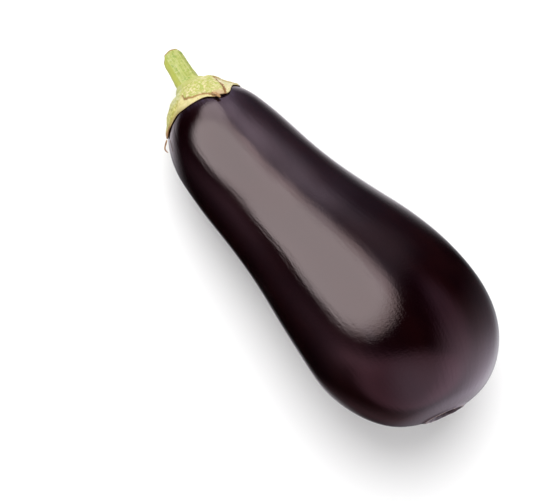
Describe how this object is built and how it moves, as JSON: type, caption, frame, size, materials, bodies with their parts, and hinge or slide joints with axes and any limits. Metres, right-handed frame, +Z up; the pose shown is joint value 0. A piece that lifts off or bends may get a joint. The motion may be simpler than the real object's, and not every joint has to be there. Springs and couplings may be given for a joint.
{
  "type": "eggplant",
  "caption": "Whole eggplant with its calyx and cut stem, lying on its side: a glossy club-shaped fruit with a slim neck and a full bulb.",
  "frame": {"origin": "middle of the footprint, on the surface that the eggplant lies on", "axes": "+X along the fruit from the stem to the blossom end, +Z up from the surface, +Y to the side that the stem leans to"},
  "size_m": [0.234, 0.0964, 0.0967],
  "materials": {
    "skin": "glossy waxy aubergine skin, nearly black with a maroon tint",
    "calyx": "matte fleshy calyx, pale yellow-green with cream margins and brown edges",
    "stem": "matte green stalk, mottled, with a dry tan cut end"
  },
  "bodies": {
    "root": {"fruit": "skin", "calyx": "calyx", "stem": "stem"}
  },
  "joints": []
}
